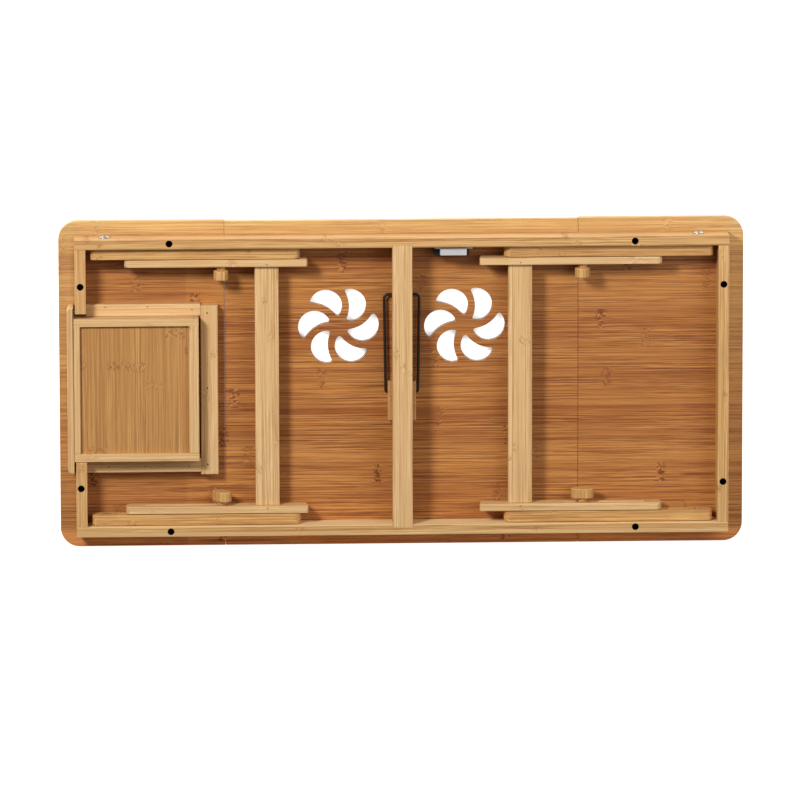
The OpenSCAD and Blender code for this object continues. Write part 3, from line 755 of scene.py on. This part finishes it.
def length_prop(name, text, default, low, high):
    """Length property, its numbers in millimetres."""
    return bpy.props.FloatProperty(
        name=name, description=text, default=default * MM, min=low * MM, max=high * MM,
        subtype="DISTANCE", unit="LENGTH",
    )


def color_prop(name, text, default):
    return bpy.props.FloatVectorProperty(
        name=name, description=text, default=default, size=3, min=0.0, max=1.0,
        subtype="COLOR_GAMMA",
    )


def wood_props():
    """Colour properties for the four tones of each kind of wood."""
    props = {}
    for kind, (label, where, dark, light, fibre, shine) in WOOD_TONES.items():
        for key, name, text, color in (
            ("dark", "dark strip", "Darkest strips", dark),
            ("light", "light strip", "Lightest strips", light),
            ("fibre", "fibre", "Dark fibres", fibre),
            ("shine", "light fibre", "Light fibres", shine),
        ):
            props[f"{kind}_{key}"] = color_prop(f"{label}, {name}", f"{text} of {where}", color)
    return props


class DeskSizes(bpy.types.PropertyGroup):
    """Sizes of the desk's dressing"""

    board_edge: length_prop("Board edge", "Rounding of the table top's edges", 0.6, 0.3, 2.0)
    rail_edge: length_prop("Rail edge", "Rounding of the rails' edges", 0.45, 0.2, 1.5)
    leg_edge: length_prop("Leg edge", "Rounding of the leg bars' edges", 0.8, 0.3, 2.0)
    knob_edge: length_prop("Knob edge", "Rounding of the knobs' edges", 1.6, 0.5, 3.0)
    wire_radius: length_prop("Wire radius", "Radius of the support wire", WIRE_R, 1.0, 1.5)


class DeskColors(bpy.types.PropertyGroup):
    """Colours of the desk's finishes"""

    __annotations__ = wood_props()
    ply_dark: color_prop("Dark layer", "Dark layer of the laminated bars", (0.725, 0.51, 0.29))
    # Colour of the painted highlight along the back margin
    back_highlight_color: color_prop("Back edge", "Painted highlight along the back edge of the table top", (0.82, 0.66, 0.445))
    # Colour of the painted light on the front rail's inner face
    front_face_light: color_prop("Front face light", "Painted light on the inner face of the front rail", (0.94, 0.82, 0.61))
    # Colour of the painted shade on the vent walls
    vent_wall: color_prop("Vent wall", "Shaded cut through the boards", (0.50, 0.46, 0.43))
    catch_body: color_prop("Catch body", "Plastic body of the magnetic catch", (0.78, 0.78, 0.80))
    # How strongly the painted highlight lies on the back margin
    back_highlight_amount: bpy.props.FloatProperty(
        name="Back edge highlight", description="How strongly the back edge highlight is painted",
        default=0.9, min=0.0, max=1.0, subtype="FACTOR",
    )


def size(key):
    """A size that the user may change, in millimetres."""
    return getattr(bpy.context.scene.desk_sizes, key) / MM


# ---- pieces


class DESK_OT_table_top(bpy.types.Operator):
    """Build the tilting middle board with its vents, and the two side boards"""

    bl_idname = "desk.table_top"
    bl_label = "Table top"

    def execute(self, context):
        low, high = measure("tilting_panel")
        loops = [oblong(*low[:2], *high[:2], 0.6)]
        for x in (-VENT_X, VENT_X):
            for i in range(PETALS):
                petal = petal_loop(math.radians(360 / PETALS * i + PETAL_TURN))
                loops.append([(x + u, VENT_Y + v) for u, v in petal])
        board = slab("tilting_board_wood", loops, low[2], high[2], "z", 0.4)
        wooden(board, "panel_wood", "top", "tilting_panel", "panel", "x", "y", 1.0)
        seam_r = 1.0
        for side, name in SIDE_NAME.items():
            radii = [TOP_CORNER_R, seam_r, seam_r, TOP_CORNER_R]
            if side == RIGHT:
                radii = [seam_r, TOP_CORNER_R, TOP_CORNER_R, seam_r]
            board = box_slab(f"{name}_board_wood", f"{name}_panel", radii, size("board_edge"), 3)
            wooden(board, "panel_wood", "frame", f"{name}_panel", "panel", "x", "y", 1.0)
        return {"FINISHED"}


class DESK_OT_rails(bpy.types.Operator):
    """Build the rails with their screw wells, and the notched middle bar"""

    bl_idname = "desk.rails"
    bl_label = "Rails and middle bar"

    def execute(self, context):
        layers = {
            BACK: {"layer": (153.8, 160.0), "lean": 3.0, "foot": 36},
            FRONT: {"layer": (-153.2, -152.4)},
        }
        half = measure("center_bar")[1][0] + 0.05
        for end in (BACK, FRONT):
            node = f"{END_NAME[end]}_rail"
            low, high = measure(node)
            inner, deep, outer = RAIL_IN * end, HOUSING * end, RAIL_OUT * end
            corners = [
                (low[0], outer), (low[0], inner), (-half, inner), (-half, deep),
                (half, deep), (half, inner), (high[0], inner), (high[0], outer),
            ]
            outline = rounded_path(corners, [0.8, 0.3, 0.2, 0.1, 0.1, 0.2, 0.3, 0.8])
            self.rail(node, outline, "x", "y", 5.0 + end, **layers[end])
        for node, seed in (("right_rail", 8.0), ("left_rail_back", 9.0), ("left_rail_front", 10.0)):
            low, high = measure(node)
            # The short rail behind the drawer keeps clear of the drawer's front
            start = low[1] + (1.4 if node == "left_rail_back" else 0)
            outline = oblong(low[0], start, *high[:2], 0.5)
            self.rail(node, outline, "y", "x", seed)
        self.middle_bar()
        return {"FINISHED"}

    def rail(self, node, outline, grain, across, seed, **layer):
        """Rail with the given outline and the screw wells that lie in it."""
        low, high = measure(node)
        wells = [
            (x, y) for x, y in SCREW_WELLS if low[0] < x < high[0] and low[1] < y < high[1]
        ]
        loops = [outline] + [ring(x, y, WELL_R) for x, y in wells]
        rail = slab(f"{node}_wood", loops, low[2], high[2], "z", size("rail_edge"))
        wooden(rail, "rail_wood", "frame", node, "rail", grain, across, seed, wells=wells, **layer)

    def middle_bar(self):
        """Bar with the bail's notches cut into its lower side."""
        low, high = measure("center_bar")
        floor = low[2]
        arm_y, arm_z = BAIL_Y - HINGE_Y, BAIL_Z - HINGE_Z

        def touch(degrees):
            """Where the wire meets the bar at a tilt, along y."""
            s, c = math.sin(math.radians(degrees)), math.cos(math.radians(degrees))
            rest = floor - HINGE_Z - WIRE_R
            lean = math.asin((arm_y * s - arm_z * c + rest) / BAIL_REACH)
            return BAIL_REACH * math.cos(lean) + arm_y * c + arm_z * s + HINGE_Y

        spots = [touch(tilt) for tilt in reversed(NOTCH_TILTS)]
        relief, depth = 2.2, 2.6
        start, end = spots[0] + 6, touch(0) + 8
        corners = [(low[1], floor)]
        for y in spots:
            z = floor if y == spots[0] else floor + relief
            corners += [(y - 5, z), (y - 1.2, z + depth), (y + 1.4, z + depth), (y + 2.2, z)]
            if y == spots[0]:
                corners += [(start, floor), (start + 2, floor + relief)]
        corners += [(end, floor + relief), (end + 4, floor), (high[1], floor)]
        corners += [(high[1], high[2]), (low[1], high[2])]
        bar = slab("middle_bar_wood", [eased(corners)], low[0], high[0], "x", 0.5)
        wooden(bar, "pale_wood", "frame", "center_bar", "pale", "y", "x", 11.0)


class DESK_OT_legs(bpy.types.Operator):
    """Build the outer legs, the inner legs and the stretchers"""

    bl_idname = "desk.legs"
    bl_label = "Folding legs"

    def execute(self, context):
        for side in (LEFT, RIGHT):
            for end in (BACK, FRONT):
                self.outer_leg(side, end)
                self.inner_leg(side, end)
            self.stretcher(side)
        return {"FINISHED"}

    def placed(self, loop, side, drawn=0.0):
        """Outline drawn from the left pivot, moved to its side of the desk."""
        return [(side * (-PIVOT_X - drawn - u), PIVOT_Z + v) for u, v in loop]

    def outer_leg(self, side, end):
        name = f"{SIDE_NAME[side]}_outer_leg_{END_NAME[end]}"
        low, high = measure(name)
        loops = [
            oblong(-HEEL, -LEG_HALF, OUTER_REACH, LEG_HALF, [9, 8, 8, 5]),
            slot_loop(*GUIDE_SLOT, 3.0),
            ring(0, 0, 3.06),
            ring(CLAMP_REACH, 0, 3.0),
        ]
        loops = [self.placed(loop, side) for loop in loops]
        leg = slab(f"{name}_wood", loops, low[1], high[1], "y", size("leg_edge"))
        (px, pz), (cx, cz) = self.placed([(0, 0), (CLAMP_REACH, 0)], side)
        bolt_recess = bore(6.5, 2.3, (cx, end * LEG_OUT, cz), end)
        nut_recess = bore(4.3, 3, (px, end * LEG_IN, pz), -end)
        carved(leg, [bolt_recess, nut_recess])
        layer = (142.6, 144.2) if end == BACK else (-141.2, -140.4)
        if (side, end) == (LEFT, FRONT):
            layer = None
        seed = 20.0 + 2 * side + end * 0.7
        wooden(leg, "rail_wood", f"{SIDE_NAME[side]}_leg", name, "leg", "x", "y", seed, layer)

    def inner_leg(self, side, end):
        name = f"{SIDE_NAME[side]}_inner_leg_{END_NAME[end]}"
        low, high = measure(name)
        drawn = RIGHT_DRAWN if side == RIGHT else 0.0
        slant = LEG_HALF * math.tan(FOOT_SLANT)
        corners = [
            (INNER_START, -LEG_HALF), (INNER_END - slant, -LEG_HALF),
            (INNER_END + slant, LEG_HALF), (INNER_START, LEG_HALF),
        ]
        loops = [rounded_path(corners, [6, 2.5, 2.5, 6]), slot_loop(INNER_SLOT, CLAMP_REACH, 3.2)]
        loops = [self.placed(loop, side, drawn) for loop in loops]
        leg = slab(f"{name}_wood", loops, low[1], high[1], "y", size("leg_edge"), 3)
        wooden(
            leg, "pale_wood", f"{SIDE_NAME[side]}_extension", name,
            "pale", "x", "y", 30.0 + 2 * side + end * 0.7,
        )

    def stretcher(self, side):
        name = f"{SIDE_NAME[side]}_stretcher"
        low, high = measure(name)
        outline = oblong(low[0], -STRETCHER_HALF, high[0], STRETCHER_HALF, 0.4)
        board = slab(f"{name}_wood", [outline], low[2], high[2], "z", 0.5)
        wooden(
            board, "pale_wood", f"{SIDE_NAME[side]}_extension", name, "pale", "y", "x", 40.0 + side,
        )


class DESK_OT_knobs(bpy.types.Operator):
    """Build the four oval clamp knobs"""

    bl_idname = "desk.knobs"
    bl_label = "Clamp knobs"

    def execute(self, context):
        collar_profile = [(3.1, 0), (4.7, 0), (5.2, 0.5), (5.2, 4.2), (3.1, 4.2)]
        for (side, end), turn in KNOB_TURN.items():
            name = f"{SIDE_NAME[side]}_knob_{END_NAME[end]}"
            cx = side * (-PIVOT_X - CLAMP_REACH)
            oval = turned_by(slot_loop(-4.5, 4.5, 7.5), math.radians(turn))
            oval = [(cx - side * u, PIVOT_Z + v) for u, v in oval]
            near, far = sorted((end * 112.5, end * 123.5))
            head = slab("knob_head", [oval], near, far, "y", size("knob_edge"), 4)
            foot = (cx, end * 127.0, PIVOT_Z)
            collar = turned("knob_collar", collar_profile, foot, "y", -end)
            knob = joined(f"{name}_wood", [head, collar])
            wooden(
                knob, "rail_wood", f"{SIDE_NAME[side]}_{END_NAME[end]}_knob", name,
                "leg", "y", "z", 50.0 + side + end * 0.4,
            )
        return {"FINISHED"}


class DESK_OT_drawer(bpy.types.Operator):
    """Build the drawer: front, walls, floor and the screw at its back"""

    bl_idname = "desk.drawer"
    bl_label = "Drawer"

    def execute(self, context):
        front = box_slab("drawer_front_wood", "drawer_front", [5, 0.4, 0.4, 5], 0.9, 3)
        wooden(front, "pale_wood", "drawer", "drawer_front", "pale", "y", "z", 60.0)
        for end in (BACK, FRONT):
            self.side_wall(end)
        for node, seed in (("drawer_inner_front", 63.0), ("drawer_back", 64.0)):
            wall = box_slab(f"{node}_wood", node, 0.3, 0.5)
            wooden(wall, "pale_wood", "drawer", node, "pale", "y", "x", seed)
        plate = box_slab("drawer_floor_wood", "drawer_floor", 0.5, 0.3)
        wooden(plate, "panel_wood", "drawer", "drawer_floor", "plate", "y", "x", 65.0)
        self.screw()
        return {"FINISHED"}

    def side_wall(self, end):
        """Side wall with a groove for the runner outside and one for the floor inside."""
        node = f"drawer_side_{END_NAME[end]}"
        low, high = measure(node)
        runner_low, runner_high, runner_in = 13.5, 19.5, WALL_OUT - 3.9
        floor_low, floor_high, floor_out = 33.0, 36.0, WALL_IN + 3
        corners = [
            (WALL_IN, low[2]), (WALL_OUT, low[2]),
            (WALL_OUT, runner_low), (runner_in, runner_low),
            (runner_in, runner_high), (WALL_OUT, runner_high),
            (WALL_OUT, high[2]), (WALL_IN, high[2]),
            (WALL_IN, floor_high), (floor_out, floor_high),
            (floor_out, floor_low), (WALL_IN, floor_low),
        ]
        loop = [(DRAWER_MID + end * u, v) for u, v in eased(corners)]
        wall = slab(f"{node}_wood", [loop], low[0], high[0], "x", 0.5)
        wooden(wall, "pale_wood", "drawer", node, "pale", "x", "y", 61.0 + end * 0.5)

    def screw(self):
        """Round head with its slot, at the drawer's back."""
        low, high = measure("drawer_strike")
        mid = (low[2] + high[2]) / 2
        profile = [
            (0, -2), (1.8, -2), (1.8, 0), (3.5, 0), (3.4, 0.4), (2.6, 0.9), (1.2, 1.2), (0, 1.2),
        ]
        seat = (high[0] - 1.2, DRAWER_MID, mid)
        screw = turned("drawer_screw_steel", profile, seat, "x")
        carved(screw, [saw(DRAWER_MID, mid, 3, 0.35, high[0] - 0.5, high[0] + 1, "x")])
        fitted(screw, finish("zinc_plate"), "drawer", "drawer_strike")


class DESK_OT_drawer_housing(bpy.types.Operator):
    """Build the guides beside the drawer, the stop block and its magnet"""

    bl_idname = "desk.drawer_housing"
    bl_label = "Drawer housing"

    def execute(self, context):
        for end, out in GUIDE_OUT.items():
            node = f"drawer_guide_{END_NAME[end]}"
            low, high = measure(node)
            corners = [
                (GUIDE_IN, low[2]), (out, low[2]), (out, high[2]), (GUIDE_IN, high[2]),
                (GUIDE_IN, 19), (RUNNER_IN, 19), (RUNNER_IN, 14), (GUIDE_IN, 14),
            ]
            loop = [(DRAWER_MID + end * u, v) for u, v in eased(corners)]
            bar = slab(f"{node}_wood", [loop], low[0], high[0], "x", 0.5)
            wooden(bar, "rail_wood", "frame", node, "pale", "x", "y", 70.0 + end)
        block = box_slab("drawer_stop_wood", "drawer_stop_block", 0.5, 0.7)
        wooden(block, "rail_wood", "frame", "drawer_stop_block", "pale", "y", "x", 72.5)
        low, high = measure("stop_magnet")
        face = (high[0], DRAWER_MID, (low[2] + high[2]) / 2)
        profile = [(0, 0), (3.5, 0), (3.5, 3.0), (3.2, 3.3), (0, 3.3)]
        disc = turned("stop_magnet_disc", profile, face, "x", -1)
        fitted(disc, finish("zinc_plate"), "frame", "stop_magnet")
        return {"FINISHED"}


class DESK_OT_bail(bpy.types.Operator):
    """Build the support wire and the block that it turns in"""

    bl_idname = "desk.bail"
    bl_label = "Support wire"

    def execute(self, context):
        block = box_slab("bail_block_wood", "bail_block", 0.8, 0.9)
        wooden(block, "pale_wood", "top", "bail_block", "leg", "y", "x", 80.0)
        stub, root, half, far = 9, 16.9, 18.5, BAIL_Y + BAIL_REACH
        corners = [
            (-stub, BAIL_Y), (-root, BAIL_Y), (-half, far), (half, far), (root, BAIL_Y),
            (stub, BAIL_Y),
        ]
        path = rounded_path(corners, [0, 2, 4.5, 4.5, 2, 0], closed=False)
        wire = tube("support_wire", [(x, y, BAIL_Z) for x, y in path], size("wire_radius"))
        fitted(wire, finish("black_wire_coat"), "bail", "support_bail")
        return {"FINISHED"}


class DESK_OT_catch(bpy.types.Operator):
    """Build the magnetic catch on the back rail and its keeper"""

    bl_idname = "desk.catch"
    bl_label = "Magnetic catch"

    def execute(self, context):
        low, high = measure("catch_body")
        outline = oblong(SHELL_X[0], low[1], SHELL_X[1], RAIL_IN - 0.2, 0.9)
        shell = slab("catch_shell", [outline], low[2], high[2], "z", 0.6, 3)
        outline = oblong(low[0], low[2], high[0], high[2], 2.6)
        flange = slab("catch_flange", [outline], high[1] - 2.3, high[1], "y", 0.5)
        color = tuple(context.scene.desk_colors.catch_body)
        white = plain_finish("catch_shell_plastic", color, CATCH_GRIME, 0.4, 0.0, 0.15, 0.1)
        body = joined("catch_body_plastic", [shell, flange])
        fitted(body, white, "frame", "catch_body")
        low, high = measure("catch_magnet")
        outline = oblong(low[0] + 1.5, low[1] - 2.5, high[0], RAIL_IN, [3, 3, 0.3, 0.3])
        plate = slab("catch_plate", [outline], 12.4, 27.0, "z", 0.3)
        outline = oblong(POLE_X[0], low[1] + 1.3, POLE_X[1], 145.1, 0.6)
        pole = slab("catch_pole", [outline], low[2], 14.0, "z", 0.3)
        dark = joined("catch_magnet_black", [plate, pole])
        fitted(dark, finish("catch_plate_iron"), "frame", "catch_magnet")
        keeper = box_slab("catch_keeper_steel", "catch_keeper", 1.2, 0.2)
        fitted(keeper, finish("zinc_plate"), "top", "catch_keeper")
        return {"FINISHED"}


class DESK_OT_fasteners(bpy.types.Operator):
    """Finish the bolts, nuts, pins, screws, brads and inserts, and build the bolt heads"""

    bl_idname = "desk.fasteners"
    bl_label = "Fasteners"

    def execute(self, context):
        zinc, brad_steel, brass = finish("zinc_plate"), finish("brad_steel"), finish("turned_brass")
        for node in ("hinge_pins", "leg_pivot_nuts"):
            finished(node, zinc)
        finished("housing_brads", brad_steel)
        finished("rail_screws", finish("dark_screw_steel"))
        for side in SIDE_NAME.values():
            finished(f"{side}_clamp_bolts", zinc)
            finished(f"{side}_guide_pins", zinc)
            finished(f"{side}_stretcher_brads", brad_steel)
            for end in END_NAME.values():
                finished(f"{side}_insert_{end}", brass)
        profile = [
            (0, -22), (3, -22), (3, 0), (6.2, 0), (6.2, 0.5), (5.8, 1.2), (4.8, 1.9),
            (3.2, 2.35), (1.5, 2.5), (0, 2.5),
        ]
        bolts = []
        for side in (LEFT, RIGHT):
            for end in (BACK, FRONT):
                x = -side * PIVOT_X
                bolt = turned("bolt", profile, (x, end * RAIL_OUT, PIVOT_Z), "y", end)
                near, far = sorted((end * (RAIL_OUT + 1.3), end * (RAIL_OUT + 5)))
                bolts.append(carved(bolt, [saw(x, PIVOT_Z, 0.7, 8, near, far, "y")]))
        heads = joined("leg_pivot_bolts_steel", bolts)
        fitted(heads, zinc, "frame", "leg_pivot_bolts")
        return {"FINISHED"}


class DESK_OT_stage(bpy.types.Operator):
    """Set up the pale floor, the soft lights and the camera"""

    bl_idname = "desk.stage"
    bl_label = "Stage"

    def execute(self, context):
        self.floor()
        self.lights()
        self.camera()
        context.scene.view_settings.view_transform = "Standard"
        return {"FINISHED"}

    def floor(self):
        """White floor that glows evenly, with painted shade in its glow only right beside the desk.
        """
        mesh = bpy.data.meshes.new("floor")
        r = 6.0
        mesh.from_pydata([(-r, -r, 0), (r, -r, 0), (r, r, 0), (-r, r, 0)], [], [(0, 1, 2, 3)])
        floor = linked("studio_floor", mesh)
        floor.location.z = -0.2 * MM
        material, w, shader = new_material("floor_paper")
        shader.inputs["Base Color"].default_value = (0.92, 0.92, 0.92, 1)
        shader.inputs["Roughness"].default_value = 0.9
        shader.inputs["Specular IOR Level"].default_value = 0.1
        shader.inputs["Emission Strength"].default_value = 1.0
        # Painted shade: the floor's glow dims where the desk hems it in, as inside the vents
        air = w.put("ShaderNodeAmbientOcclusion", {"samples": 8}, Distance=9 * MM).outputs["AO"]
        glow_with_painted_shade = w.mix(w.ramp(air, 0.2, 0.75), (0.30, 0.31, 0.33), (0.95, 0.95, 0.95))
        w.feed(shader.inputs["Emission Color"], glow_with_painted_shade)
        mesh.materials.append(material)

    def lights(self):
        """A small strong light at the back left, a broad weak one at the right, warm air."""
        for name, place, aim, width, power, color in (
            ("left_light", (-1.2, 1.15, 1.7), (0.9, -0.2, 0), 0.5, 46.0, (1, 0.985, 0.965)),
            ("right_light", (1.0, 0.45, 1.05), (0.2, 0, 0), 1.2, 10.5, (1, 0.975, 0.95)),
        ):
            data = bpy.data.lights.new(name, "AREA")
            data.shape = "SQUARE"
            data.size = width
            data.energy = power
            data.color = color
            lamp = linked(name, data)
            lamp.location = place
            way = Vector(aim) - Vector(place)
            lamp.rotation_euler = way.to_track_quat("-Z", "Y").to_euler()
        world = bpy.data.worlds.new("studio_air")
        world.use_nodes = True
        air = world.node_tree.nodes["Background"].inputs
        air["Color"].default_value = (1.0, 0.9, 0.78, 1)
        air["Strength"].default_value = 0.14
        bpy.context.scene.world = world

    def camera(self):
        """Camera of the photo: nearly straight above, moved a little to the back and the left."""
        aim, reach, view_width = Vector((-0.0017, -0.0197, 0.010)), 8.64, 0.8427
        tilt, swing, roll = (math.radians(a) for a in (-10.0, -2.08, -0.49))
        turn = Matrix.Identity(3)
        for angle, axis in ((tilt, "X"), (swing, "Y"), (roll, "Z")):
            turn = turn @ Matrix.Rotation(angle, 3, axis)
        data = bpy.data.cameras.new("camera")
        data.lens = data.sensor_width * reach / view_width
        data.clip_end = 50.0
        camera = linked("camera", data)
        camera.rotation_euler = turn.to_euler()
        camera.location = aim + turn @ Vector((0, 0, reach))
        bpy.context.scene.camera = camera


class DESK_PT_pieces(bpy.types.Panel):
    """Lists the desk's pieces and their settings"""

    bl_idname = "DESK_PT_pieces"
    bl_label = "Lap desk"
    bl_space_type = "VIEW_3D"
    bl_region_type = "UI"
    bl_category = "Lap desk"

    def draw(self, context):
        for operator in OPERATORS:
            self.layout.operator(operator.bl_idname)
        for group in (context.scene.desk_sizes, context.scene.desk_colors):
            box = self.layout.box()
            for key in group.__annotations__:
                box.prop(group, key)


OPERATORS = (
    DESK_OT_table_top,
    DESK_OT_rails,
    DESK_OT_legs,
    DESK_OT_knobs,
    DESK_OT_drawer,
    DESK_OT_drawer_housing,
    DESK_OT_bail,
    DESK_OT_catch,
    DESK_OT_fasteners,
    DESK_OT_stage,
)
CLASSES = (DeskSizes, DeskColors, *OPERATORS, DESK_PT_pieces)


def register():
    for cls in CLASSES:
        bpy.utils.register_class(cls)
    bpy.types.Scene.desk_sizes = bpy.props.PointerProperty(type=DeskSizes)
    bpy.types.Scene.desk_colors = bpy.props.PointerProperty(type=DeskColors)


def unregister():
    del bpy.types.Scene.desk_colors
    del bpy.types.Scene.desk_sizes
    for cls in reversed(CLASSES):
        bpy.utils.unregister_class(cls)


def main():
    register()
    bpy.ops.desk.table_top()
    bpy.ops.desk.rails()
    bpy.ops.desk.legs()
    bpy.ops.desk.knobs()
    bpy.ops.desk.drawer()
    bpy.ops.desk.drawer_housing()
    bpy.ops.desk.bail()
    bpy.ops.desk.catch()
    bpy.ops.desk.fasteners()
    bpy.ops.desk.stage()


if __name__ == "__main__":
    main()
